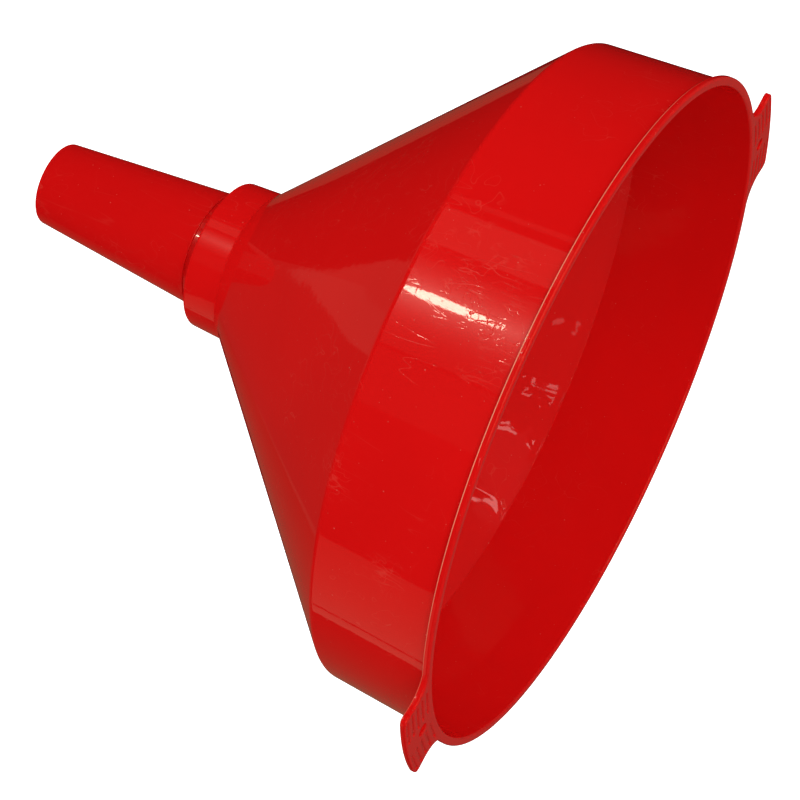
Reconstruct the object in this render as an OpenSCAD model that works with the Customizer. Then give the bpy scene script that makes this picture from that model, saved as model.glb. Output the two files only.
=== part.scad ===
// Wide-mouth workshop funnel: a bowl with a beaded rim and two grip ears, a push-in tapered spout
// with its seal, and a lift-out strainer in the throat.
// +Z points up through the mouth. The origin is the centre of the shoulder, the flat ring under the
// collar that rests on a filler neck. The ears lie along X.

/* [Bowl] */
// Outer diameter of the rim
rim_d = 250; // [180:1:320]
// Height of the rim above the shoulder
rim_h = 155; // [130:1:180]
// Wall thickness of the bowl
wall_t = 1.6; // [1.2:0.1:2]
// Height at which the cone turns into the upright wall
corner_h = 108.8; // [90:0.1:115]
// Outer diameter of the upright wall at its foot
corner_d = 241.6; // [170:0.1:312]
// Outer diameter of the upright wall just under the rim bead
wall_top_d = 246.4; // [176:0.1:316]
// Outer radius of the bend between the cone and the upright wall
corner_bend = 2.5; // [2:0.5:12]

/* [Rim and ears] */
// Height of the bead round the rim, and thickness of the ears
bead_h = 2.4; // [2:0.1:4]
// Radius of the bead's top edges
bead_top_edge = 0.9; // [0.4:0.1:1.2]
// Radius of the bead's bottom edge
bead_low_edge = 0.5; // [0.2:0.1:0.8]
// How far an ear stands out beyond the rim
ear_reach = 14.5; // [12:0.5:20]
// Half of the angle that an ear covers
ear_half_angle = 9.2; // [8:0.1:14]
// Radius of the hollow where an ear's side runs into the rim
ear_root_r = 9; // [2:0.5:12]
// Radius of an ear's outer corners
ear_corner_r = 2.4; // [1:0.1:4]
// Diameter of the hanging hole in each ear
hang_hole_d = 4.8; // [3:0.1:6]
// Distance of the hanging hole's centre beyond the rim
hang_hole_out = 4.8; // [4:0.1:8]
// Number of grip grooves across an ear
groove_count = 5; // [2:1:6]
// Distance between two grip grooves
groove_pitch = 3.1; // [2:0.1:4]
// Width of a grip groove
groove_w = 1.2; // [0.6:0.1:1.6]
// Depth of a grip groove
groove_depth = 0.5; // [0.2:0.1:0.8]

/* [Collar] */
// Outer diameter of the collar at the shoulder
collar_low_d = 56.6; // [55:0.1:60]
// Outer diameter of the collar where the cone starts
collar_top_d = 58; // [55.2:0.1:62]
// Height of the collar
collar_h = 14.2; // [13.8:0.1:18]
// Radius of the collar's lower edge and of the hollow above it
collar_edge = 0.7; // [0.3:0.1:1]
// Diameter of the bore that takes the spout's sleeve
socket_d = 52; // [50:0.1:52.4]
// Height of the bore that takes the spout's sleeve
socket_h = 8.2; // [7:0.1:9]
// Thickness of the ledge between the spout and the strainer
ledge_t = 2.2; // [1.5:0.1:2.6]
// Diameter of the opening through the ledge
throat_d = 45.2; // [40:0.1:46]
// Diameter of the pocket that takes the strainer
pocket_d = 52.6; // [52:0.1:53]

/* [Spout] */
// Length of the spout below the shoulder
spout_len = 73.5; // [50:0.5:120]
// Outer diameter at the tip
tip_d = 32.2; // [24:0.1:36]
// Outer diameter at the root, carried up to the shoulder
root_d = 44.7; // [42:0.1:46]
// Wall thickness of the spout
spout_t = 2; // [1.5:0.1:2.5]
// Width of the relief groove under the shoulder
relief_w = 4.4; // [2:0.1:6]
// Outer diameter in the relief groove
relief_d = 42.8; // [42.4:0.1:43.4]
// Radius of the tip's outer edge
tip_edge = 0.7; // [0.3:0.1:0.9]
// Radial gap between the sleeve and its bore
sleeve_gap = 0.05; // [0.02:0.01:0.1]
// Section diameter of the seal ring
seal_section = 1.8; // [1.4:0.1:2]

/* [Strainer] */
// Outer diameter of the strainer's frame
strainer_d = 52; // [50:0.1:52.2]
// Thickness of the frame's floor under the gauze
frame_floor = 1.2; // [0.8:0.1:1.5]
// Full height of the frame
frame_h = 3; // [2.4:0.1:3.2]
// Width of the frame's upright lip
frame_lip = 1; // [0.8:0.1:1.4]
// Thickness of the gauze
gauze_t = 0.6; // [0.4:0.1:0.8]
// Height of the finger tab above the gauze
tab_h = 15.8; // [12:0.1:24]
// Width of the finger tab
tab_w = 16; // [12:0.5:20]
// Thickness of the finger tab
tab_t = 2; // [1.6:0.1:3]

/* [Hidden] */
$fn = 96;
moulded_red = [0.8, 0.06, 0.05];

rim_r = rim_d / 2;
bead_z = rim_h - bead_h;
corner_p = [corner_d / 2, corner_h];
cone_foot = [collar_top_d / 2, collar_h];
wall_top = [wall_top_d / 2, bead_z];
cone_dir = heading(cone_foot, corner_p);
wall_dir = heading(corner_p, wall_top);
bend_centre = corner_p - corner_bend * tan((wall_dir - cone_dir) / 2) * along(cone_dir)
    + corner_bend * along(cone_dir + 90);
rim_in_r = corner_p.x + (rim_h - corner_h) / tan(wall_dir) - wall_t / sin(wall_dir);
inner_foot = cone_foot + wall_t * along(cone_dir + 90);
pocket_r = pocket_d / 2;
pocket_top = inner_foot.y - (inner_foot.x - pocket_r) * tan(cone_dir);
pocket_floor = socket_h + ledge_t;

ear_r = rim_r + ear_reach;
ear_foot_r = rim_r - bead_top_edge - 0.6;
groove_first_r = rim_r + groove_w / 2 - 0.1;
groove_pad_angle = 2.4;
groove_side_margin = 0.9;

sleeve_r = socket_d / 2 - sleeve_gap;
sleeve_h = socket_h - 0.2;
sleeve_chamfer = 0.6;
sleeve_in_r = throat_d / 2 + 0.4;
tip_r = tip_d / 2;
root_r = root_d / 2;
relief_start_r = root_r - (root_r - tip_r) * relief_w / spout_len;
seal_r = sleeve_r - 0.05 - seal_section / 2;
seal_z = sleeve_h / 2;
seal_groove_w = seal_section + 0.4;
seal_groove_r = seal_r - seal_section / 2 - 0.05;

strainer_r = strainer_d / 2;
window_r = throat_d / 2 + 0.2;
lip_in_r = strainer_r - frame_lip;
gauze_r = lip_in_r - 0.1;
gauze_z = pocket_floor + frame_floor;
grip_z = gauze_z + gauze_t;
grip_ring_h = frame_h - frame_floor - gauze_t;
bar_w = 4;
bar_h = 2;
tab_rib_h = 0.5;
tab_rib_pitch = 3;
tab_rib_count = 3;

// Unit vector in the direction a, in degrees.
function along(a) = [cos(a), sin(a)];
// Direction from point p to point q, in degrees.
function heading(p, q) = atan2(q.y - p.y, q.x - p.x);
// Points along an arc round centre c.
function arc(c, r, from, to, steps) =
    [for (i = [0:steps]) c + r * along(from + (to - from) * i / steps)];
// The same outline below the X axis, in reverse order.
function mirrored(points) =
    [for (i = [len(points) - 1:-1:0]) [points[i].x, -points[i].y]];

// Outline of the bowl's wall, from the shoulder up the outside and down the inside.
function bowl_profile() = concat(
    [[socket_d / 2, 0]],
    arc([collar_low_d / 2 - collar_edge, collar_edge], collar_edge, -90, 0, 6),
    [cone_foot],
    arc(bend_centre, corner_bend, cone_dir - 90, wall_dir - 90, 16),
    [wall_top],
    arc([rim_r - bead_low_edge, bead_z + bead_low_edge], bead_low_edge, -90, 0, 6),
    arc([rim_r - bead_top_edge, rim_h - bead_top_edge], bead_top_edge, 0, 90, 8),
    arc([rim_in_r + bead_top_edge, rim_h - bead_top_edge], bead_top_edge, 90, 180, 8),
    arc(bend_centre, corner_bend - wall_t, wall_dir - 90, cone_dir - 90, 16),
    [[pocket_r, pocket_top], [pocket_r, pocket_floor]],
    [[throat_d / 2, pocket_floor], [throat_d / 2, socket_h], [socket_d / 2, socket_h]]
);

// One half of an ear's outline, from the rim out to the ear's tip.
function ear_side() =
    let (a = ear_half_angle)
    let (root = a + asin(ear_root_r / (rim_r + ear_root_r)))
    let (tip = a - asin(ear_corner_r / (ear_r - ear_corner_r)))
    concat(
        [ear_foot_r * along(root)],
        arc((rim_r + ear_root_r) * along(root), ear_root_r, root + 180, a + 270, 12),
        arc((ear_r - ear_corner_r) * along(tip), ear_corner_r, a + 90, tip, 8)
    );

// Flat outline of an ear lying along +X.
module ear_outline() {
    tip = ear_half_angle - asin(ear_corner_r / (ear_r - ear_corner_r));
    polygon(concat(ear_side(), arc([0, 0], ear_r, tip, -tip, 12), mirrored(ear_side())));
}

// Grip grooves on both sides of the plain pad round the hanging hole.
module ear_grooves() {
    sweep = ear_half_angle - groove_side_margin - groove_pad_angle;
    for (i = [0:groove_count - 1])
        for (start = [groove_pad_angle, -groove_pad_angle - sweep])
            rotate([0, 0, start])
                rotate_extrude(angle = sweep)
                    translate([groove_first_r + i * groove_pitch - groove_w / 2, rim_h - groove_depth])
                        square([groove_w, groove_depth + 1]);
}

module ear() {
    difference() {
        translate([0, 0, bead_z])
            linear_extrude(bead_h)
                ear_outline();
        ear_grooves();
        translate([rim_r + hang_hole_out, 0, bead_z - 1])
            cylinder(d = hang_hole_d, h = bead_h + 2, $fn = 48);
    }
}

module bowl() {
    color(moulded_red) {
        rotate_extrude()
            polygon(bowl_profile());
        for (side = [0, 180])
            rotate([0, 0, side])
                ear();
    }
}

module spout() {
    color(moulded_red)
        rotate_extrude()
            polygon(concat(
                [[tip_r - spout_t, -spout_len]],
                arc([tip_r - tip_edge, tip_edge - spout_len], tip_edge, -90, 0, 6),
                [[relief_start_r, -relief_w], [relief_d / 2, -relief_w], [relief_d / 2, 0]],
                [[sleeve_r, 0], [sleeve_r, seal_z - seal_groove_w / 2]],
                [[seal_groove_r, seal_z - seal_groove_w / 2], [seal_groove_r, seal_z + seal_groove_w / 2]],
                [[sleeve_r, seal_z + seal_groove_w / 2], [sleeve_r, sleeve_h - sleeve_chamfer]],
                [[sleeve_r - sleeve_chamfer, sleeve_h], [sleeve_in_r, sleeve_h]],
                [[root_r - spout_t - 0.15, 0]]
            ));
}

module spout_seal() {
    color([0.05, 0.05, 0.05])
        translate([0, 0, seal_z])
            rotate_extrude()
                translate([seal_r, 0])
                    circle(d = seal_section, $fn = 32);
}

module strainer_frame() {
    color([0.08, 0.08, 0.08])
        translate([0, 0, pocket_floor])
            rotate_extrude()
                polygon([
                    [window_r, 0], [strainer_r, 0], [strainer_r, frame_h],
                    [lip_in_r, frame_h], [lip_in_r, frame_floor], [window_r, frame_floor]
                ]);
}

module strainer_gauze() {
    color("goldenrod")
        translate([0, 0, gauze_z])
            cylinder(r = gauze_r, h = gauze_t);
}

// Upright outline of the finger tab, round at the top.
module tab_outline() {
    translate([-tab_w / 2, 0])
        square([tab_w, tab_h - tab_w / 2]);
    translate([0, tab_h - tab_w / 2])
        circle(d = tab_w);
}

module strainer_grip() {
    color([0.08, 0.08, 0.08])
        translate([0, 0, grip_z]) {
            difference() {
                cylinder(r = gauze_r, h = grip_ring_h);
                translate([0, 0, -1])
                    cylinder(r = window_r, h = grip_ring_h + 2);
            }
            translate([-window_r - 1, -bar_w / 2, 0])
                cube([2 * window_r + 2, bar_w, bar_h - 0.8]);
            translate([-tab_w / 2 - 2, -bar_w / 2, 0])
                cube([tab_w + 4, bar_w, bar_h]);
            translate([0, tab_t / 2, 0])
                rotate([90, 0, 0])
                    linear_extrude(tab_t)
                        tab_outline();
            for (i = [0:tab_rib_count - 1])
                translate([-tab_w / 4, -tab_t / 2 - tab_rib_h, tab_h - 4 - i * tab_rib_pitch])
                    cube([tab_w / 2, tab_t + 2 * tab_rib_h, 1]);
        }
}

bowl();
spout();
spout_seal();
strainer_frame();
strainer_gauze();
strainer_grip();
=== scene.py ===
import math

import bmesh
import bpy
from mathutils import Matrix, Vector


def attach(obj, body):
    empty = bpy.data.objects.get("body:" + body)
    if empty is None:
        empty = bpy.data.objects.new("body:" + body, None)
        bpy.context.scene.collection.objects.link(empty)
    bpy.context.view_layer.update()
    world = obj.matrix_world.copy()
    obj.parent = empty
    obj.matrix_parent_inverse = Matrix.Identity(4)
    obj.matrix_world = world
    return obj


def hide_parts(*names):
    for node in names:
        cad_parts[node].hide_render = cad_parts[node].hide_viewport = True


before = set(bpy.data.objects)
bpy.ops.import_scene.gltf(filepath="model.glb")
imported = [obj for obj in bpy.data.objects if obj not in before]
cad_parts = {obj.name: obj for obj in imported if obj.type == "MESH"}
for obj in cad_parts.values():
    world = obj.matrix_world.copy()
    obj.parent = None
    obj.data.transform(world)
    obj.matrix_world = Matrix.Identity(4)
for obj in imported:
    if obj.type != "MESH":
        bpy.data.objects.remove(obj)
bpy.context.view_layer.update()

# The object's sizes are in millimetres, as in the CAD source; MM turns them into metres.
MM = 0.001
TAU = 2 * math.pi

# Bowl
RIM_R = 125.0
RIM_H = 155.0
WALL_T = 1.6
CORNER_R = 120.8
CORNER_H = 108.8
CORNER_BEND = 2.5
WALL_TOP_R = 123.2
BEAD_H = 2.4
BEAD_Z = RIM_H - BEAD_H
BEAD_TOP_EDGE = 0.9
BEAD_LOW_EDGE = 0.5
SOCKET_R = 26.0
SOCKET_H = 8.2
THROAT_R = 22.6
POCKET_R = 26.3
POCKET_FLOOR = 10.4
COLLAR_LOW_R = 28.3
COLLAR_TOP_R = 29.0
COLLAR_H = 14.2
COLLAR_EDGE = 0.7

# Ears
EAR_R = RIM_R + 14.5
EAR_FOOT_R = 123.5
EAR_ANGLE = math.radians(9.2)
EAR_ROOT = 9.0
EAR_CORNER = 2.4
EAR_EDGE = 0.55
EAR_EDGE_STEPS = 5
EAR_SINK = 0.03
EAR_TOP_R = EAR_R - EAR_EDGE
HOLE_R = 2.4
HOLE_AT = RIM_R + 4.8
HOLE_FLARE = 0.35
HOLE_FLARE_TURN = math.radians(75)
GROOVES = 5
GROOVE_PITCH = 3.1
GROOVE_W = 1.2
GROOVE_DEPTH = 0.5
GROOVE_FIRST_R = RIM_R + GROOVE_W / 2 - 0.1
GROOVE_RAMP = math.radians(0.3)
PAD_ANGLE = math.radians(2.4)
SIDE_MARGIN = math.radians(0.9)
GROOVE_END = EAR_ANGLE - SIDE_MARGIN

# Grid of the ear's faces: rows across each groove, and columns on the pad and at the grooves' ends
GROOVE_ROWS = (-0.68, -0.6, -0.5, -0.4, -0.3, 0, 0.3, 0.4, 0.5, 0.6, 0.68)
SECOND_ROW_R = 124.2
LAST_ROW_GAP = 0.15
PAD_COLUMNS = (0.3, 0.6, 0.85)
COLUMN_STEP = math.radians(0.1)
COLUMN_MARGIN = math.radians(0.12)

# Spout and seal
SPOUT_LEN = 73.5
TIP_R = 16.1
ROOT_R = 22.35
SPOUT_T = 2.0
BORE_R = ROOT_R - SPOUT_T - 0.15
RELIEF_W = 4.4
RELIEF_R = 21.4
SLEEVE_R = 25.95
SLEEVE_H = 8.0
SLEEVE_IN_R = 23.0
SLEEVE_CHAMFER = 0.6
SEAL_SECTION_R = 0.9
SEAL_FLASH = 0.03
SEAL_R = 25.0
SEAL_Z = 4.0
SEAL_GROOVE_R = 24.05
SEAL_GROOVE_W = 2.2

# Strainer
STRAINER_R = 26.0
FRAME_FLOOR = 1.2
FRAME_H = 3.0
LIP_IN_R = 25.0
WINDOW_R = 22.8
GAUZE_R = 24.9
GAUZE_Z = 11.9
WIRE_PITCH = 1.25
WIRE_R = 0.14
WIRE_SIDES = 5
WIRE_STEPS = 5
GAUZE_HEM = 1.5
GRIP_Z = 12.2
GRIP_RING_H = 1.2
BAR_W = 4.0
BAR_H = 2.0
BAR_BITE = 1.0
TAB_H = 15.8
TAB_W = 16.0
TAB_T = 2.0
TAB_FOOT = 2.0
RIBS = 3
RIB_FIRST = 4.0
RIB_PITCH = 3.0
RIB_H = 1.0
RIB_OUT = 0.5
GRIP_EDGE = 0.22

# Outlines: the angle between the points of an arc, and the distance of the support points beside it
ARC_STEP = math.radians(11)
SUPPORT = 0.25

# Edges that turn by more than this many degrees are shaded sharp.
SHARP_ANGLE = 38

# Camera: its lens, where it stands in metres, which way it looks, and which way is up in its picture
LENS = 104.37
SENSOR = 36
CAMERA_AT = Vector((0.3519, -0.7064, 0.3376))
CAMERA_LOOK = Vector((-0.4000, 0.8642, -0.3052))
CAMERA_UP = Vector((-0.7780, -0.4962, -0.3855))

# Wear: places on the wall by azimuth, height and reach. Then a painted highlight: the height of the pale line
# painted along the bead, its brightest side and its share of the colour
SCUFFS = [(-67, 142, 20), (-76, 126, 24), (-41, 112, 13), (-27.5, 135, 10)]
SCUFF_R = RIM_R - 3
SCUFF_FADING = 0.6
HIGHLIGHT_Z = BEAD_Z + 0.22
HIGHLIGHT_SIDE = -66
HIGHLIGHT_SHARE = 0.75

# Red plastic: its colours, and the depths of its relief in metres
BOWL_RED = (0.7, 0.0052, 0.0052, 1)
SPOUT_RED = (0.655, 0.0049, 0.0049, 1)
# The pale colour of the painted highlight line along the rim bead
HIGHLIGHT_PALE_RED = (0.98, 0.42, 0.26, 1)
DUST = (0.66, 0.14, 0.11, 1)
BOWL_WAVE = 0.00011
BOWL_PEEL = 0.000006
SPOUT_WAVE = 0.00009
SPOUT_PEEL = 0.0000025
INNER_WAVE = 0.0006
CUT_DEPTH = -0.000012

# Studio, in metres: the point that the lights face, the distance of the cards, and the floor
MIDDLE = Vector((0, 0, 0.08))
FAR = 40.0
FLOOR_Z = -0.45
FLOOR_SIZE = 30
CLIP_END = 100

# Azimuth and elevation of the small bright lamp, and bands of elevation that cards share, in degrees
SPOT_AT = (-76.9, -23.7)
PANEL_BAND = (-30, -14)
LOW_BAND = (-27.5, -13)

# Glints on the inside of the cone: azimuth, elevation, radiance and half of the width
GLINTS = [(-10, 69, 0.9, 1.0), (-66, 75, 2.2, 0.9), (-101, 72.5, 3.2, 0.9), (-140, 63, 3.4, 1.1)]

# Colours of the lights
LAMP_WHITE = (1, 0.97, 0.93)
SPOT_AMBER = (1, 0.84, 0.64)
GLOW_PEACH = (1, 0.8, 0.66)
WARM = (1.0, 0.8, 0.6)
LOW_AMBER = (1, 0.8, 0.54)
GLINT_PINK = (1, 0.82, 0.76)
CEILING_PINK = (1, 0.8, 0.74)
SOFTBOX_ORANGE = (1, 0.56, 0.3)
BEHIND_AMBER = (1, 0.75, 0.45)


def polar(radius, angle):
    """A flat vector of that length at that angle in radians."""
    return Vector((radius * math.cos(angle), radius * math.sin(angle)))


def corner_points(before, corner, after, radius):
    """Points of the arc that rounds one corner, with a support point on each straight beside it."""
    to_before = (before - corner).normalized()
    to_after = (after - corner).normalized()
    half = math.acos(max(-1.0, min(1.0, to_before.dot(to_after)))) / 2
    reach = radius / math.tan(half)
    centre = corner + (to_before + to_after).normalized() * (radius / math.sin(half))
    start = corner + to_before * reach - centre
    turn = start.angle_signed(corner + to_after * reach - centre)
    steps = max(3, math.ceil(abs(turn) / ARC_STEP))
    arc = []
    for i in range(steps + 1):
        arc.append(centre + Matrix.Rotation(-turn * i / steps, 2) @ start)
    support = min(SUPPORT, radius)
    room_before = (before - corner).length - reach
    room_after = (after - corner).length - reach
    if room_before > 3 * support:
        arc.insert(0, corner + to_before * (reach + support))
    if room_after > 3 * support:
        arc.append(corner + to_after * (reach + support))
    return arc


def rounded(corners):
    """A closed outline from (r, z, rounding radius) corners."""
    points = []
    for i, (r, z, radius) in enumerate(corners):
        before = Vector(corners[i - 1][:2])
        after = Vector(corners[(i + 1) % len(corners)][:2])
        points.extend(corner_points(before, Vector((r, z)), after, radius))
    return points


def lathe(name, outline, segments):
    """A closed ring swept from an outline of (r, z) points, in millimetres."""
    bm = bmesh.new()
    rings = []
    for i in range(segments):
        angle = TAU * i / segments
        ring = []
        for point in outline:
            flat = polar(point[0], angle)
            ring.append(bm.verts.new((flat.x * MM, flat.y * MM, point[1] * MM)))
        rings.append(ring)
    for i in range(segments):
        ring_faces(bm, rings[i], rings[(i + 1) % segments])
    return finished(name, bm)


def ring_faces(bm, first, second):
    """Joins two rings of points with four-sided faces."""
    for i in range(len(first)):
        k = (i + 1) % len(first)
        bm.faces.new((first[i], first[k], second[k], second[i]))


def skin(bm, rings):
    """Joins a row of rings of points, and closes it at both ends."""
    for first, second in zip(rings, rings[1:]):
        ring_faces(bm, first, second)
    bm.faces.new(rings[0])
    bm.faces.new(rings[-1])


def finished(name, bm):
    """The mesh object for a bmesh, with its faces turned outwards and smooth shading."""
    bmesh.ops.recalc_face_normals(bm, faces=bm.faces)
    mesh = bpy.data.meshes.new(name)
    bm.to_mesh(mesh)
    bm.free()
    made = bpy.data.objects.new(name, mesh)
    bpy.context.scene.collection.objects.link(made)
    smooth(made)
    return made


def smooth(piece):
    """Smooth shading, with the sharp edges kept sharp."""
    for face in piece.data.polygons:
        face.use_smooth = True
    piece.data.set_sharp_from_angle(angle=math.radians(SHARP_ANGLE))


def combine(piece, other, operation):
    """Joins or cuts one closed mesh with another, and removes the other."""
    step = piece.modifiers.new(operation.lower(), "BOOLEAN")
    step.object = other
    step.operation = operation
    step.solver = "EXACT"
    settle(piece)
    bpy.data.objects.remove(other)


def settle(piece):
    """Turns the modifiers of a piece into its mesh."""
    graph = bpy.context.evaluated_depsgraph_get()
    mesh = bpy.data.meshes.new_from_object(piece.evaluated_get(graph))
    piece.modifiers.clear()
    piece.data = mesh
    smooth(piece)


def soften(piece, width, segments=3, angle=40):
    """Rounds the edges of a piece that are sharper than the angle."""
    step = piece.modifiers.new("edges", "BEVEL")
    step.width = width * MM
    step.segments = segments
    step.limit_method = "ANGLE"
    step.angle_limit = math.radians(angle)
    settle(piece)


# The bowl and its ears

def bowl_outline():
    """The bowl's section, up the outside from the collar to the bead and down the inside to the socket."""
    foot = Vector((COLLAR_TOP_R, COLLAR_H))
    corner = Vector((CORNER_R, CORNER_H))
    top = Vector((WALL_TOP_R, BEAD_Z))
    cone = (corner - foot).normalized()
    wall = (top - corner).normalized()
    cone_in = Vector((-cone.y, cone.x))
    wall_in = Vector((-wall.y, wall.x))
    inner_corner = corner + (cone_in + wall_in) * WALL_T / (1 + cone_in.dot(wall_in))
    rim_in = inner_corner + wall * (RIM_H - inner_corner.y) / wall.y
    inner_foot = foot + cone_in * WALL_T
    pocket_top = inner_foot - cone * (inner_foot.x - POCKET_R) / cone.x
    return rounded([
        (SOCKET_R, 0, 0.3),
        (COLLAR_LOW_R, 0, COLLAR_EDGE),
        (COLLAR_TOP_R, COLLAR_H, 0.7),
        (CORNER_R, CORNER_H, CORNER_BEND),
        (WALL_TOP_R, BEAD_Z, 0.25),
        (RIM_R, BEAD_Z, BEAD_LOW_EDGE),
        (RIM_R, RIM_H, BEAD_TOP_EDGE),
        (rim_in.x, RIM_H, BEAD_TOP_EDGE),
        (inner_corner.x, inner_corner.y, CORNER_BEND - WALL_T),
        (pocket_top.x, pocket_top.y, 0.4),
        (POCKET_R, POCKET_FLOOR, 0.25),
        (THROAT_R, POCKET_FLOOR, 0.3),
        (THROAT_R, SOCKET_H, 0.3),
        (SOCKET_R, SOCKET_H, 0.2),
    ])


def ear_tip_angle():
    """Angle of the centre of the ear's rounded outer corner."""
    return EAR_ANGLE - math.asin(EAR_CORNER / (EAR_R - EAR_CORNER))


def ear_half_angle(r, inset):
    """Half of the angle that the ear's outline, moved inwards by inset, covers at radius r."""
    root_r = RIM_R + EAR_ROOT
    root_angle = EAR_ANGLE + math.asin(EAR_ROOT / root_r)
    hollow = EAR_ROOT + inset
    knob = EAR_CORNER - inset
    knob_r = EAR_R - EAR_CORNER
    if r <= root_r - hollow:
        return root_angle
    if r * r < root_r * root_r - hollow * hollow:
        return root_angle - math.acos((r * r + root_r * root_r - hollow * hollow) / (2 * r * root_r))
    if r * r <= knob_r * knob_r - knob * knob:
        return EAR_ANGLE - math.asin(inset / r)
    spread = (r * r + knob_r * knob_r - knob * knob) / (2 * r * knob_r)
    return ear_tip_angle() + math.acos(min(1.0, spread))


def ear_rows():
    """Radii of the ear's grid, close together at the walls of each groove."""
    rows = [EAR_FOOT_R, SECOND_ROW_R]
    for i in range(GROOVES):
        centre = GROOVE_FIRST_R + i * GROOVE_PITCH
        for offset in GROOVE_ROWS:
            rows.append(centre + offset)
        rows.append(centre + 0.5 * GROOVE_PITCH)
    return [r for r in rows if r < EAR_TOP_R - LAST_ROW_GAP] + [EAR_TOP_R]


def ear_columns():
    """Angles of the ear's grid on one side, close together at the ends of the grooves."""
    columns = [0.0]
    for share in PAD_COLUMNS:
        columns.append(PAD_ANGLE * share)
    for start in (PAD_ANGLE, GROOVE_END):
        for i in range(-3, 4):
            columns.append(start + i * COLUMN_STEP)
    for i in range(1, 12):
        columns.append(PAD_ANGLE + (GROOVE_END - PAD_ANGLE) * i / 12)
    return sorted(columns)


def fade(value, low, high):
    """A smooth step from 0 at low to 1 at high."""
    share = max(0.0, min(1.0, (value - low) / (high - low)))
    return share * share * (3 - 2 * share)


def groove_depth(r, angle):
    """Depth of the grip grooves in the ear's top, at a place on it."""
    side = abs(angle)
    along = fade(side, PAD_ANGLE - GROOVE_RAMP, PAD_ANGLE + GROOVE_RAMP)
    along *= 1 - fade(side, GROOVE_END - GROOVE_RAMP, GROOVE_END + GROOVE_RAMP)
    wall_in = GROOVE_W / 2 - 0.28
    wall_out = GROOVE_W / 2 + 0.06
    across = 0.0
    for i in range(GROOVES):
        off = abs(r - GROOVE_FIRST_R - i * GROOVE_PITCH)
        across = max(across, 1 - fade(off, wall_in, wall_out))
    return GROOVE_DEPTH * along * across


def ear_row_angles(r, inset, columns):
    """Signed angles of one row of the ear's grid."""
    limit = ear_half_angle(r, inset)
    squeeze = min(1.0, (limit - COLUMN_MARGIN) / max(columns))
    half = [a * squeeze for a in columns] + [limit]
    return [-a for a in reversed(half[1:])] + half


def ear_layer(bm, inset, level, grooved=False):
    """A grid of points over the ear's outline, moved inwards by inset."""
    stretch = (EAR_R - inset - EAR_FOOT_R) / (EAR_TOP_R - EAR_FOOT_R)
    columns = ear_columns()
    grid = []
    for row in ear_rows():
        r = EAR_FOOT_R + (row - EAR_FOOT_R) * stretch
        line = []
        for angle in ear_row_angles(r, inset, columns):
            depth = groove_depth(r, angle) if grooved else 0
            flat = polar(r, angle)
            line.append(bm.verts.new((flat.x * MM, flat.y * MM, (level - depth) * MM)))
        grid.append(line)
    return grid


def grid_faces(bm, grid):
    """Four-sided faces between the rows of a grid of points."""
    for lower, upper in zip(grid, grid[1:]):
        for i in range(len(lower) - 1):
            bm.faces.new((lower[i], lower[i + 1], upper[i + 1], upper[i]))


def grid_border(grid):
    """The outline of a grid of points, once round."""
    border = list(grid[0])
    border += [line[-1] for line in grid[1:]]
    border += list(reversed(grid[-1][:-1]))
    border += [line[0] for line in reversed(grid[1:-1])]
    return border


def drop_inside(bm, grid):
    """Keeps only the border points of a grid."""
    kept = set(grid_border(grid))
    for line in grid:
        for vert in line:
            if vert not in kept:
                bm.verts.remove(vert)


def ear_edge_steps(top, bottom):
    """Inset and level of the outlines that round the ear's two edges, from the top down."""
    steps = []
    for i in range(1, EAR_EDGE_STEPS + 1):
        turn = math.pi / 2 * (i / EAR_EDGE_STEPS)
        steps.append((EAR_EDGE * (1 - math.sin(turn)), top - EAR_EDGE * (1 - math.cos(turn))))
    for i in range(EAR_EDGE_STEPS):
        turn = math.pi / 2 * (i / EAR_EDGE_STEPS)
        steps.append((EAR_EDGE * (1 - math.cos(turn)), bottom + EAR_EDGE * (1 - math.sin(turn))))
    return steps


def ear(name):
    """A flat grip ear along +X, with rounded edges and grooves in its top."""
    bm = bmesh.new()
    top = RIM_H - EAR_SINK
    bottom = BEAD_Z + EAR_SINK
    top_grid = ear_layer(bm, EAR_EDGE, top, grooved=True)
    grid_faces(bm, top_grid)
    borders = [grid_border(top_grid)]
    for inset, level in ear_edge_steps(top, bottom):
        grid = ear_layer(bm, inset, level)
        borders.append(grid_border(grid))
        drop_inside(bm, grid)
    bottom_grid = ear_layer(bm, EAR_EDGE, bottom)
    grid_faces(bm, bottom_grid)
    borders.append(grid_border(bottom_grid))
    for upper, lower in zip(borders, borders[1:]):
        ring_faces(bm, upper, lower)
    return finished(name, bm)


def flare(level, way):
    """The hole's outline at one face of the ear, widening from the hole's wall out to the face."""
    arc = []
    for i in range(6):
        turn = HOLE_FLARE_TURN * i / 5
        out = HOLE_R + HOLE_FLARE * (1 - math.cos(turn))
        arc.append(Vector((out, level + way * HOLE_FLARE * (1 - math.sin(turn)))))
    return arc


def hole_cutter(name):
    """A cutter for the hanging hole, flared at both ends so that the hole's edges come out soft."""
    low = flare(BEAD_Z, 1)
    high = flare(RIM_H, -1)
    below = Vector((low[-1].x, BEAD_Z - 1))
    above = Vector((high[-1].x, RIM_H + 1))
    segments = 64
    bm = bmesh.new()
    rings = []
    for point in [below, *reversed(low), *high, above]:
        ring = []
        for i in range(segments):
            flat = polar(point.x, TAU * i / segments) + Vector((HOLE_AT, 0))
            ring.append(bm.verts.new((flat.x * MM, flat.y * MM, point.y * MM)))
        rings.append(ring)
    skin(bm, rings)
    return finished(name, bm)


def make_bowl():
    """The bowl with an ear on each side, each with its hole."""
    bowl = lathe("bowl_shell", bowl_outline(), segments=360)
    for side in (0, 1):
        grip = ear("ear")
        combine(grip, hole_cutter("hole"), "DIFFERENCE")
        grip.data.transform(Matrix.Rotation(math.pi * side, 4, "Z"))
        combine(bowl, grip, "UNION")
    return bowl


# The spout and its seal

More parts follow.
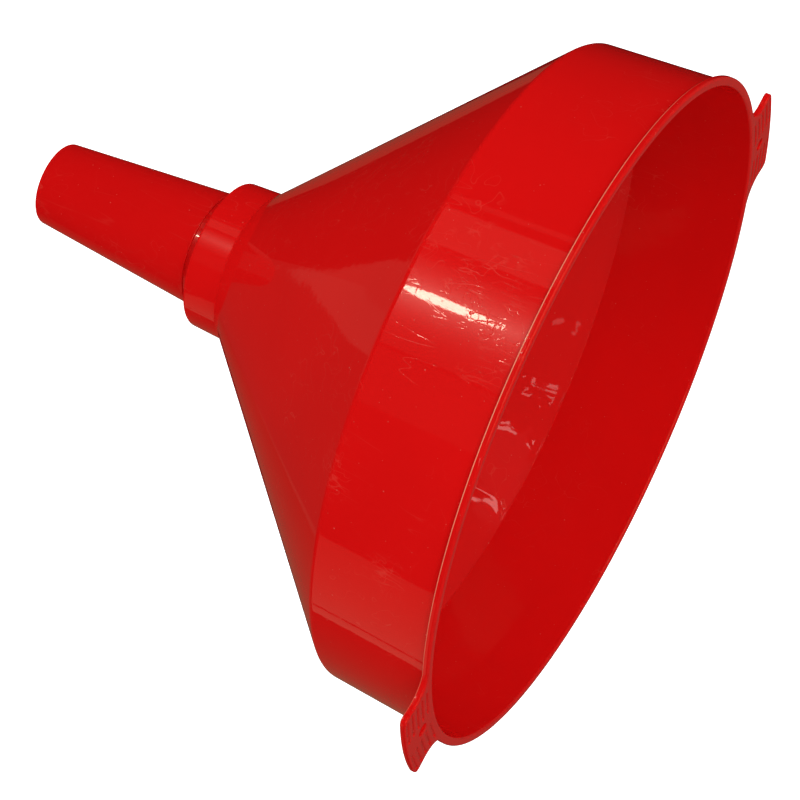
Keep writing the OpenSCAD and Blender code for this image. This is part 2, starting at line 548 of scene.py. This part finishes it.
def make_spout():
    """The tapered spout, its relief groove, the stop face and the push-in sleeve."""
    relief_start = ROOT_R - (ROOT_R - TIP_R) * RELIEF_W / SPOUT_LEN
    groove_low = SEAL_Z - SEAL_GROOVE_W / 2
    groove_high = SEAL_Z + SEAL_GROOVE_W / 2
    outline = rounded([
        (TIP_R - SPOUT_T, -SPOUT_LEN, 0.5),
        (TIP_R, -SPOUT_LEN, 0.8),
        (relief_start, -RELIEF_W, 0.3),
        (RELIEF_R, -RELIEF_W, 0.12),
        (RELIEF_R, 0, 0.2),
        (SLEEVE_R, 0, 0.25),
        (SLEEVE_R, groove_low, 0.15),
        (SEAL_GROOVE_R, groove_low, 0.15),
        (SEAL_GROOVE_R, groove_high, 0.15),
        (SLEEVE_R, groove_high, 0.15),
        (SLEEVE_R, SLEEVE_H - SLEEVE_CHAMFER, 0.15),
        (SLEEVE_R - SLEEVE_CHAMFER, SLEEVE_H, 0.15),
        (SLEEVE_IN_R, SLEEVE_H, 0.4),
        (BORE_R, 0, 1.5),
    ])
    return lathe("spout_tube", outline, segments=192)


def make_seal():
    """A rubber ring with the fine flash line of its mould round the outside."""
    outline = []
    count = 40
    for i in range(count):
        turn = TAU * i / count
        flash = SEAL_FLASH if i in (0, count // 2) else 0.0
        outline.append(Vector((SEAL_R, SEAL_Z)) + polar(SEAL_SECTION_R - SEAL_FLASH + flash, turn))
    return lathe("seal_ring", outline, segments=160)


# The strainer

def make_strainer_frame():
    """The ring that sits in the pocket, with a ledge for the gauze and a lip round it."""
    floor = POCKET_FLOOR
    return lathe("strainer_ring", rounded([
        (WINDOW_R, floor, 0.25),
        (STRAINER_R, floor, 0.25),
        (STRAINER_R, floor + FRAME_H, 0.3),
        (LIP_IN_R, floor + FRAME_H, 0.3),
        (LIP_IN_R, floor + FRAME_FLOOR, 0.12),
        (WINDOW_R, floor + FRAME_FLOOR, 0.2),
    ]), segments=180)


def wire(bm, offset, lengthwise, wave):
    """One wire of the gauze, weaving over and under its neighbours across the disc."""
    half = math.sqrt(max(0.0, (GAUZE_R - WIRE_R) ** 2 - offset * offset))
    steps = max(4, round(2 * half / WIRE_PITCH * WIRE_STEPS))
    rings = []
    for i in range(steps + 1):
        along = -half + 2 * half * i / steps
        height = wave * math.cos(math.pi * along / WIRE_PITCH)
        ring = []
        for j in range(WIRE_SIDES):
            turn = TAU * j / WIRE_SIDES
            across = offset + WIRE_R * math.cos(turn)
            level = GAUZE_Z + height + WIRE_R * math.sin(turn)
            spot = (along, across, level) if lengthwise else (across, along, level)
            ring.append(bm.verts.new([value * MM for value in spot]))
        rings.append(ring)
    skin(bm, rings)


def make_gauze():
    """Plain-woven wire cloth, cut to a disc."""
    bm = bmesh.new()
    reach = int((GAUZE_R - GAUZE_HEM) / WIRE_PITCH)
    for i in range(-reach, reach + 1):
        wave = WIRE_R if i % 2 == 0 else -WIRE_R
        wire(bm, i * WIRE_PITCH, True, wave)
        wire(bm, i * WIRE_PITCH, False, -wave)
    return finished("wire_cloth", bm)


def block(name, low, high):
    """A closed box between two corners, in millimetres."""
    bm = bmesh.new()
    bmesh.ops.create_cube(bm, size=1)
    size = Vector(high) - Vector(low)
    middle = (Vector(high) + Vector(low)) / 2
    for vert in bm.verts:
        vert.co = Vector((vert.co[i] * size[i] + middle[i] for i in range(3))) * MM
    return finished(name, bm)


def tab_plate(name):
    """The upright finger tab, round at the top."""
    bm = bmesh.new()
    radius = TAB_W / 2
    outline = [Vector((-radius, 0)), Vector((radius, 0))]
    for i in range(33):
        outline.append(Vector((0, TAB_H - radius)) + polar(radius, math.pi * i / 32))
    sheets = []
    for y in (-TAB_T / 2, TAB_T / 2):
        sheets.append([bm.verts.new((p.x * MM, y * MM, (GRIP_Z + p.y) * MM)) for p in outline])
    for sheet in sheets:
        bm.faces.new(sheet)
    ring_faces(bm, *sheets)
    return finished(name, bm)


def grip_ribs():
    """Blocks for the ribs across both faces of the finger tab."""
    ribs = []
    for i in range(RIBS):
        low = GRIP_Z + TAB_H - RIB_FIRST - RIB_PITCH * i
        out = TAB_T / 2 + RIB_OUT
        ribs.append(block("rib", (-TAB_W / 4, -out, low), (TAB_W / 4, out, low + RIB_H)))
    return ribs


def make_grip():
    """The snap-in ring with its cross bar and finger tab."""
    top = GRIP_Z + GRIP_RING_H
    grip = lathe("strainer_handle", [
        Vector((WINDOW_R, GRIP_Z)),
        Vector((GAUZE_R, GRIP_Z)),
        Vector((GAUZE_R, top)),
        Vector((WINDOW_R, top)),
    ], segments=120)
    reach = WINDOW_R + BAR_BITE
    wide = TAB_W / 2 + TAB_FOOT
    parts = [
        block("bar", (-reach, -BAR_W / 2, GRIP_Z), (reach, BAR_W / 2, top)),
        block("foot", (-wide, -BAR_W / 2, GRIP_Z), (wide, BAR_W / 2, GRIP_Z + BAR_H)),
        tab_plate("tab"),
        *grip_ribs(),
    ]
    for part in parts:
        combine(grip, part, "UNION")
    soften(grip, GRIP_EDGE)
    return grip


# Materials

def new_material(name):
    """A material with its node tree and its shader."""
    made = bpy.data.materials.new(name)
    made.use_nodes = True
    return made, made.node_tree, made.node_tree.nodes["Principled BSDF"]


def fill(tree, made, inputs):
    """Sets a node's inputs, by name or number, to values, or links them to sockets."""
    for key, value in inputs.items():
        socket = made.inputs[key]
        if isinstance(value, bpy.types.NodeSocket):
            tree.links.new(value, socket)
        else:
            socket.default_value = value


def node(tree, kind, settings=None, **inputs):
    """A node with its settings and inputs. An input's name is its own, or _ and its number."""
    made = tree.nodes.new(kind)
    for key, value in (settings or {}).items():
        setattr(made, key, value)
    fill(tree, made, {int(key[1:]) if key[0] == "_" else key: value for key, value in inputs.items()})
    return made


def place(tree, stretch=(1, 1, 1), turn=(0, 0, 0)):
    """Object coordinates in metres, stretched and turned."""
    where = here(tree)
    return node(tree, "ShaderNodeMapping", Vector=where, Scale=stretch, Rotation=turn).outputs[0]


def here(tree):
    """Object coordinates in metres."""
    return node(tree, "ShaderNodeTexCoord").outputs["Object"]


def noise(tree, where, scale, detail=2.0, roughness=0.5, distortion=0.0):
    made = node(tree, "ShaderNodeTexNoise", Vector=where, Scale=scale, Detail=detail)
    fill(tree, made, {"Roughness": roughness, "Distortion": distortion})
    return made.outputs[0]


def remap(tree, value, low, high, to_low, to_high):
    """A value mapped from one range to another and kept within it."""
    made = node(tree, "ShaderNodeMapRange", {"clamp": True}, _0=value, _1=low, _2=high, _3=to_low, _4=to_high)
    return made.outputs[0]


def maths(tree, operation, first, *others):
    """One operation on a value, or on several values taken one after the other."""
    if not others:
        return node(tree, "ShaderNodeMath", {"operation": operation}, _0=first).outputs[0]
    for other in others:
        first = node(tree, "ShaderNodeMath", {"operation": operation}, _0=first, _1=other).outputs[0]
    return first


def measure(tree, operation, first, second=(0, 0, 0)):
    """A number worked out from one or two vectors, such as a length or a distance."""
    return node(tree, "ShaderNodeVectorMath", {"operation": operation}, _0=first, _1=second).outputs["Value"]


def mix_colour(tree, share, first, second):
    made = node(tree, "ShaderNodeMix", {"data_type": "RGBA"}, _0=share, _6=first, _7=second)
    return made.outputs[2]


def bump(tree, height, distance, before=None):
    """Relief of a depth in metres, on top of the relief before it."""
    made = node(tree, "ShaderNodeBump", Height=height, Distance=distance, Strength=1.0)
    if before is not None:
        tree.links.new(before, made.inputs["Normal"])
    return made.outputs[0]


def hair_lines(tree, where, scale, width, distortion):
    """Thin curly lines, where a noise field crosses its middle value."""
    field = noise(tree, where, scale, detail=0.6, distortion=distortion)
    off = maths(tree, "ABSOLUTE", maths(tree, "SUBTRACT", field, 0.5))
    return remap(tree, off, 0.0, width, 1.0, 0.0)


def patches(tree, scale, low, high, shift):
    """Soft patches, for wear that isn't everywhere."""
    where = place(tree, turn=(shift, 0.7 * shift, 1.3 * shift))
    return remap(tree, noise(tree, where, scale, detail=1.0), low, high, 0.0, 1.0)


def spot_mask(tree, point, reach, fading):
    """A mask round a place. All its sizes are in millimetres."""
    off = measure(tree, "DISTANCE", here(tree), Vector(point) * MM)
    return remap(tree, off, (reach - fading) * MM, reach * MM, 1.0, 0.0)


def rubbed_places(tree):
    """Dense curls and short cuts where the wall has been handled and put down most."""
    curls = hair_lines(tree, place(tree, turn=(0.3, 0.8, 0.1)), scale=170, width=0.022, distortion=1.6)
    cuts = hair_lines(tree, place(tree, (1, 1, 0.2), (0.5, 0.2, 0)), scale=330, width=0.022, distortion=0.2)
    marks = maths(tree, "MAXIMUM", curls, cuts)
    broken = patches(tree, scale=120, low=0.46, high=0.56, shift=3.1)
    masks = []
    for azimuth, height, reach in SCUFFS:
        spot = polar(SCUFF_R, math.radians(azimuth))
        masks.append(spot_mask(tree, (spot.x, spot.y, height), reach, reach * SCUFF_FADING))
    return maths(tree, "MULTIPLY", marks, broken, maths(tree, "MAXIMUM", *masks))


def painted_bead_highlight(tree):
    """A painted highlight: a pale line along the lower outer edge of the rim bead, strongest on the side
    towards the camera.
    """
    where = here(tree)
    parted = node(tree, "ShaderNodeSeparateXYZ", Vector=where)
    off = maths(tree, "ABSOLUTE", maths(tree, "SUBTRACT", parted.outputs["Z"], HIGHLIGHT_Z * MM))
    line = remap(tree, off, 0.1 * MM, 0.3 * MM, 1.0, 0.0)
    flat = node(tree, "ShaderNodeCombineXYZ", X=parted.outputs["X"], Y=parted.outputs["Y"])
    out = measure(tree, "LENGTH", flat.outputs[0])
    outside = remap(tree, out, (RIM_R - 0.5) * MM, (RIM_R - 0.3) * MM, 0.0, 1.0)
    side = polar(1, math.radians(HIGHLIGHT_SIDE))
    facing = measure(tree, "DOT_PRODUCT", where, (side.x, side.y, 0))
    # The painted highlight is strongest on the side towards the camera.
    rubbed_and_lit = remap(tree, facing, 0.4 * RIM_R * MM, RIM_R * MM, 0.0, 1.0)
    return maths(tree, "MULTIPLY", line, outside, rubbed_and_lit)


def inner_wave(tree):
    """Strong shallow waves on the inside of the cone, where the moulding shrank unevenly."""
    start = node(tree, "ShaderNodeTexCoord")
    upward = node(tree, "ShaderNodeSeparateXYZ", Vector=start.outputs["Normal"]).outputs["Z"]
    height = node(tree, "ShaderNodeSeparateXYZ", Vector=start.outputs["Object"]).outputs["Z"]
    facing = remap(tree, upward, 0.2, 0.6, 0.0, 1.0)
    below_wall = remap(tree, height, (CORNER_H - 2) * MM, (CORNER_H + 6) * MM, 1.0, 0.0)
    waves = noise(tree, place(tree, (1, 1, 0.5), (0.2, 0.1, 0.4)), scale=58, distortion=0.4)
    return maths(tree, "MULTIPLY", waves, facing, below_wall)


def scratches(tree):
    """Curly scuffs and straight hairlines of handling, in patches."""
    curls = hair_lines(tree, place(tree), scale=75, width=0.005, distortion=1.2)
    curls = maths(tree, "MULTIPLY", curls, patches(tree, scale=26, low=0.54, high=0.64, shift=0.4), 0.4)
    fine = hair_lines(tree, place(tree, turn=(0.6, 0.2, 0.9)), scale=110, width=0.006, distortion=0.8)
    fine = maths(tree, "MULTIPLY", fine, patches(tree, scale=30, low=0.55, high=0.62, shift=1.1))
    along = place(tree, (1, 1, 0.16), (0.1, 0.06, 0))
    drawn = hair_lines(tree, along, scale=190, width=0.005, distortion=0.1)
    drawn = maths(tree, "MULTIPLY", drawn, patches(tree, scale=26, low=0.57, high=0.62, shift=2.3))
    return maths(tree, "MAXIMUM", curls, fine, drawn)


def drawn_lines(tree):
    """Faint straight lines along the spout, in patches."""
    lines = hair_lines(tree, place(tree, (1, 1, 0.004)), scale=150, width=0.01, distortion=0.0)
    return maths(tree, "MULTIPLY", lines, patches(tree, scale=40, low=0.42, high=0.6, shift=0.8), 0.35)


def specks(tree, scale, size, shift=0.0):
    """Small scattered dots of dust, with most of the cells left empty."""
    where = place(tree, turn=(shift, shift, 0))
    cells = node(tree, "ShaderNodeTexVoronoi", {"feature": "F1"}, Vector=where, Scale=scale)
    dots = remap(tree, cells.outputs["Distance"], size * 0.5, size, 1.0, 0.0)
    parted = node(tree, "ShaderNodeSeparateColor", Color=cells.outputs["Color"])
    some = remap(tree, parted.outputs[0], 0.86, 0.88, 0.0, 1.0)
    return maths(tree, "MULTIPLY", dots, some)


def red_body(tree, colour, scuff, dust):
    """The red itself: a little uneven, paler in scratches, and greyed by dust."""
    red, green, blue, alpha = colour
    tone = remap(tree, noise(tree, place(tree), scale=14, detail=3), 0.3, 0.7, 0.0, 1.0)
    deep = (red * 0.93, green * 0.9, blue * 0.9, alpha)
    pale = (red * 1.05, 0.07, 0.05, alpha)
    body = mix_colour(tree, tone, deep, colour)
    body = mix_colour(tree, maths(tree, "MULTIPLY", scuff, 0.3), body, pale)
    return mix_colour(tree, maths(tree, "MULTIPLY", dust, 0.5), body, DUST)


def red_relief(tree, wave, peel, worn_and_highlit, scuff, dust):
    """Slow waves, a fine skin, and marks cut into it, with dust standing on it."""
    relief = bump(tree, noise(tree, place(tree), scale=26, detail=1.0, roughness=0.4), wave)
    if worn_and_highlit:
        relief = bump(tree, inner_wave(tree), INNER_WAVE, relief)
    relief = bump(tree, noise(tree, place(tree), scale=300), peel, relief)
    marks = maths(tree, "ADD", scuff, maths(tree, "MULTIPLY", dust, -1.5))
    return bump(tree, marks, CUT_DEPTH, relief)


def red_plastic(name, colour, wave, peel, worn_and_highlit=False):
    """Glossy moulded red plastic. With the bowl's flag it adds the bowl's marks and the painted highlight
    line on the rim bead, and without it come those of the spout.
    """
    made, tree, shader = new_material(name)
    scuff = maths(tree, "MAXIMUM", scratches(tree), rubbed_places(tree) if worn_and_highlit else drawn_lines(tree))
    coarse = specks(tree, scale=260, size=0.085)
    dust = maths(tree, "MAXIMUM", coarse, specks(tree, scale=520, size=0.11, shift=1.7))
    body = red_body(tree, colour, scuff, dust)
    if worn_and_highlit:
        # Painted highlight: a pale line mixed into the colour along the rim bead's lower edge.
        body = mix_colour(tree, maths(tree, "MULTIPLY", painted_bead_highlight(tree), HIGHLIGHT_SHARE), body, HIGHLIGHT_PALE_RED)
    haze = remap(tree, noise(tree, place(tree), scale=32, detail=3), 0.35, 0.7, 0.2, 0.27)
    marked = maths(tree, "MULTIPLY", maths(tree, "MAXIMUM", scuff, dust), 0.25)
    relief = red_relief(tree, wave, peel, worn_and_highlit, scuff, dust)
    fill(tree, shader, {
        "Base Color": body,
        "Roughness": maths(tree, "ADD", haze, marked),
        "IOR": 1.5,
        "Specular IOR Level": 0.0,
        "Coat Weight": 0.95,
        "Coat Roughness": 0.03,
        "Coat IOR": 1.5,
        "Normal": relief,
        "Coat Normal": relief,
    })
    return made


def rubber(name):
    """Matt black rubber with fine grain and faint grey bloom."""
    made, tree, shader = new_material(name)
    grain = noise(tree, place(tree), scale=2600, detail=3, roughness=0.6)
    bloom = remap(tree, noise(tree, place(tree), scale=90, detail=3), 0.45, 0.75, 0.0, 1.0)
    fill(tree, shader, {
        "Base Color": mix_colour(tree, bloom, (0.012, 0.012, 0.013, 1), (0.04, 0.039, 0.038, 1)),
        "Roughness": remap(tree, grain, 0.3, 0.7, 0.52, 0.72),
        "Specular IOR Level": 0.4,
        "Normal": bump(tree, grain, 0.00003),
    })
    return made


def dark_plastic(name):
    """Satin black moulded plastic with a spark-eroded grain and rubbed spots."""
    made, tree, shader = new_material(name)
    grain = noise(tree, place(tree), scale=3200, roughness=0.55)
    rubbed_and_lit = remap(tree, noise(tree, place(tree), scale=120, detail=3), 0.52, 0.66, 0.0, 1.0)
    satin = remap(tree, grain, 0.3, 0.7, 0.34, 0.5)
    fill(tree, shader, {
        "Base Color": mix_colour(tree, rubbed_and_lit, (0.018, 0.018, 0.019, 1), (0.034, 0.033, 0.032, 1)),
        "Roughness": maths(tree, "SUBTRACT", satin, maths(tree, "MULTIPLY", rubbed_and_lit, 0.12)),
        "Normal": bump(tree, grain, 0.00002),
    })
    return made


def brass_wire(name):
    """Drawn brass wire, lightly tarnished in places."""
    made, tree, shader = new_material(name)
    tarnish = remap(tree, noise(tree, place(tree), scale=140, detail=4, roughness=0.6), 0.4, 0.68, 0.0, 1.0)
    drawn = noise(tree, place(tree), scale=5200)
    fill(tree, shader, {
        "Base Color": mix_colour(tree, tarnish, (0.78, 0.55, 0.22, 1), (0.36, 0.22, 0.09, 1)),
        "Metallic": 1.0,
        "Roughness": remap(tree, tarnish, 0.0, 1.0, 0.22, 0.5),
        "Normal": bump(tree, drawn, 0.00001),
    })
    return made


def dress(piece, material, body, slot, *nodes):
    """Gives a piece its material and its body, and hides the CAD nodes it stands for. The slot argument is
    not used.
    """
    piece.data.materials.clear()
    piece.data.materials.append(material)
    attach(piece, body)
    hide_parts(*nodes)


# Studio

def heading(azimuth, elevation):
    """Unit vector towards an azimuth and elevation in degrees."""
    a = math.radians(azimuth)
    e = math.radians(elevation)
    return Vector((math.cos(e) * math.cos(a), math.cos(e) * math.sin(a), math.sin(e)))


def lamp(name, azimuth, elevation, distance, size, radiance, colour, gloss=False):
    """A round soft light that faces the middle of the object. It shows in reflections only with gloss."""
    light = bpy.data.lights.new(name, "AREA")
    light.shape = "DISK"
    light.size = size
    light.energy = radiance * math.pi * size * size * (math.pi / 4)
    light.color = colour
    made = bpy.data.objects.new(name, light)
    bpy.context.scene.collection.objects.link(made)
    way = heading(azimuth, elevation)
    made.location = MIDDLE + way * distance
    made.rotation_euler = way.to_track_quat("Z", "Y").to_euler()
    made.visible_camera = False
    made.visible_glossy = gloss


def fall_off(tree, points, fading):
    """A share that falls from 1 in the middle of a card by the same factor for every metre."""
    span = max((p - points[0]).length for p in points)
    middle = sum(points, Vector()) / len(points)
    where = node(tree, "ShaderNodeNewGeometry").outputs["Position"]
    return maths(tree, "POWER", math.exp(-2 * fading / span), measure(tree, "DISTANCE", where, middle))


def glowing(name, colour, points, fading):
    """A clear material that adds a glow, with its strength in the mesh's level attribute."""
    made = bpy.data.materials.new(name)
    made.use_nodes = True
    tree = made.node_tree
    tree.nodes.clear()
    level = node(tree, "ShaderNodeAttribute", {"attribute_name": "level"}).outputs["Fac"]
    if fading:
        level = maths(tree, "MULTIPLY", fall_off(tree, points, fading), level)
    glow = node(tree, "ShaderNodeEmission", Color=(*colour, 1), Strength=level)
    clear = node(tree, "ShaderNodeBsdfTransparent")
    both = node(tree, "ShaderNodeAddShader", _0=glow.outputs[0], _1=clear.outputs[0])
    node(tree, "ShaderNodeOutputMaterial", Surface=both.outputs[0])
    return made


def card(name, corners, radiance, colour, fading=None):
    """A clear glowing card, seen only in glossy reflections.

    Its corners are (azimuth, elevation). Its radiance is one level, or a list with one for each corner.
    """
    points = [MIDDLE + heading(azimuth, elevation) * FAR for azimuth, elevation in corners]
    mesh = bpy.data.meshes.new(name)
    mesh.from_pydata(points, [], [tuple(range(len(points)))])
    levels = mesh.attributes.new("level", "FLOAT", "POINT")
    levels.data.foreach_set("value", radiance if isinstance(radiance, list) else [radiance] * len(points))
    mesh.materials.append(glowing(name, colour, points, fading))
    made = bpy.data.objects.new(name, mesh)
    bpy.context.scene.collection.objects.link(made)
    made.visible_camera = False
    made.visible_diffuse = False
    made.visible_shadow = False


def strip(name, azimuths, elevations, radiance, colour):
    """A card between two azimuths and two elevations. Two radiances run from azimuth to azimuth."""
    (a0, a1), (e0, e1) = azimuths, elevations
    if isinstance(radiance, tuple):
        radiance = [radiance[0], radiance[1], radiance[1], radiance[0]]
    card(name, [(a0, e0), (a1, e0), (a1, e1), (a0, e1)], radiance, colour)


def oval(azimuth, elevation, half_width, half_height, count=24):
    """Corners of an oval card."""
    corners = []
    for i in range(count):
        turn = i * TAU / count
        corners.append((azimuth + half_width * math.cos(turn), elevation + half_height * math.sin(turn)))
    return corners


def make_floor():
    """A plain pale floor, far enough below that the object's shadow falls outside the picture."""
    bm = bmesh.new()
    bmesh.ops.create_grid(bm, x_segments=4, y_segments=4, size=FLOOR_SIZE)
    floor = finished("floor", bm)
    floor.location.z = FLOOR_Z
    material, tree, shader = new_material("floor_white")
    fill(tree, shader, {
        "Base Color": (0.9, 0.9, 0.9, 1),
        "Roughness": 0.9,
        "Emission Color": (1, 1, 1, 1),
        "Emission Strength": 1.0,
    })
    floor.data.materials.append(material)
    floor.visible_diffuse = False
    floor.visible_glossy = False
    floor.visible_shadow = False


def make_world():
    """White behind the object, soft grey for its diffuse light, and dim in its reflections."""
    world = bpy.data.worlds.new("studio")
    bpy.context.scene.world = world
    world.use_nodes = True
    world.cycles.sampling_method = "NONE"
    tree = world.node_tree
    tree.nodes.clear()
    way = node(tree, "ShaderNodeTexCoord").outputs["Generated"]
    height = node(tree, "ShaderNodeSeparateXYZ", Vector=way).outputs["Z"]
    level = remap(tree, height, -0.15, 0.08, 0.007, 0.1)
    rays = node(tree, "ShaderNodeLightPath").outputs
    soft = node(tree, "ShaderNodeBackground", Color=(1, 0.98, 0.96, 1), Strength=0.66).outputs[0]
    dim = node(tree, "ShaderNodeBackground", Color=(1, 0.8, 0.62, 1), Strength=level).outputs[0]
    white = node(tree, "ShaderNodeBackground", Color=(1, 1, 1, 1), Strength=1.0).outputs[0]
    lit = node(tree, "ShaderNodeMixShader", _0=rays["Is Glossy Ray"], _1=soft, _2=dim).outputs[0]
    seen = node(tree, "ShaderNodeMixShader", _0=rays["Is Camera Ray"], _1=lit, _2=white).outputs[0]
    node(tree, "ShaderNodeOutputWorld", Surface=seen)


def soft_lamps():
    """Two soft lamps for the diffuse light, and the small bright one of the long highlight on the wall."""
    lamp("key", -80, 28, distance=2.2, size=1.3, radiance=4.6, colour=LAMP_WHITE)
    lamp("fill", 15, -57, distance=2.2, size=1.3, radiance=2.3, colour=LAMP_WHITE)
    lamp("spot", *SPOT_AT, distance=FAR, size=1.9, radiance=24.0, colour=SPOT_AMBER, gloss=True)


def outside_cards():
    """What the wall, the cone and the spout reflect on the camera's side."""
    card("glow", oval(*SPOT_AT, half_width=20, half_height=9), 3.8, GLOW_PEACH, fading=5.1)
    strip("panel_front", (-88, -58.1), PANEL_BAND, 0.11, WARM)
    strip("panel_side", (-57, -37.5), PANEL_BAND, 0.07, WARM)
    strip("panel_upper", (-107.4, -94), PANEL_BAND, 0.33, WARM)
    strip("panel_low", (13, 44.2), LOW_BAND, (0.2, 0.38), LOW_AMBER)
    strip("panel_edge", (44.9, 48.5), LOW_BAND, (0.38, 0.44), LOW_AMBER)
    strip("line_upper", (-112.6, -110.6), PANEL_BAND, 0.15, WARM)
    nadir = [(124, -70), (137, -69.4), (170, -66), (240, -75), (320, -75), (60, -75), (104, -71.7)]
    card("nadir", nadir, 0.13, WARM)


def mouth_cards():
    """What the inside of the bowl and its rim bead reflect."""
    for i, (azimuth, elevation, radiance, half) in enumerate(GLINTS):
        wide = half / math.cos(math.radians(elevation))
        azimuths = (azimuth - wide, azimuth + wide)
        strip("glint_%d" % i, azimuths, (elevation - half, elevation + half), radiance, GLINT_PINK)
    strip("glint_rim", (-38.5, -36), (-6.4, -4.6), 10.0, GLINT_PINK)
    strip("ceiling", (-150, -90), (60, 70), 0.08, CEILING_PINK)
    strip("softbox", (-118, -42), (12, 48), 1.2, SOFTBOX_ORANGE)


def far_cards():
    """What the outside reflects near the object's outline, where it turns away from the camera."""
    card("below", [(60, -78), (104, -74.5), (128, -71.5), (122, -44), (75, -44)], 0.045, WARM)
    behind = [(49, -44), (105, -44), (105, -12), (49, -12)]
    card("behind", behind, [0.04, 0.045, 0.16, 0.02], BEHIND_AMBER)
    strip("behind_top", (112, 138), (-44, -25), 0.08, BEHIND_AMBER)


def make_lights():
    """All the lamps and cards."""
    soft_lamps()
    outside_cards()
    mouth_cards()
    far_cards()


def make_camera():
    """The camera at the photograph's viewing angle."""
    data = bpy.data.cameras.new("camera")
    data.lens = LENS
    data.sensor_width = SENSOR
    data.clip_end = CLIP_END
    made = bpy.data.objects.new("camera", data)
    look = CAMERA_LOOK.normalized()
    right = look.cross(CAMERA_UP).normalized()
    up = right.cross(look)
    turn = Matrix((right, up, -look)).transposed().to_4x4()
    made.matrix_world = Matrix.Translation(CAMERA_AT) @ turn
    bpy.context.scene.collection.objects.link(made)
    bpy.context.scene.camera = made


bowl_red = red_plastic("red_bowl", BOWL_RED, BOWL_WAVE, BOWL_PEEL, worn_and_highlit=True)
spout_red = red_plastic("red_spout", SPOUT_RED, SPOUT_WAVE, SPOUT_PEEL)
dress(make_bowl(), bowl_red, "bowl_body", "red_moulding", "bowl")
dress(make_spout(), spout_red, "spout_body", "spout_moulding", "spout")
dress(make_seal(), rubber("black_rubber"), "spout_body", "seal_rubber", "spout_seal")
black = dark_plastic("black_plastic")
dress(make_strainer_frame(), black, "strainer_body", "strainer_plastic", "strainer_frame")
dress(make_grip(), black, "strainer_body", "strainer_plastic", "strainer_grip")
dress(make_gauze(), brass_wire("brass"), "strainer_body", "gauze_wire", "strainer_gauze")

make_floor()
make_world()
make_lights()
make_camera()
bpy.context.scene.view_settings.view_transform = "Standard"
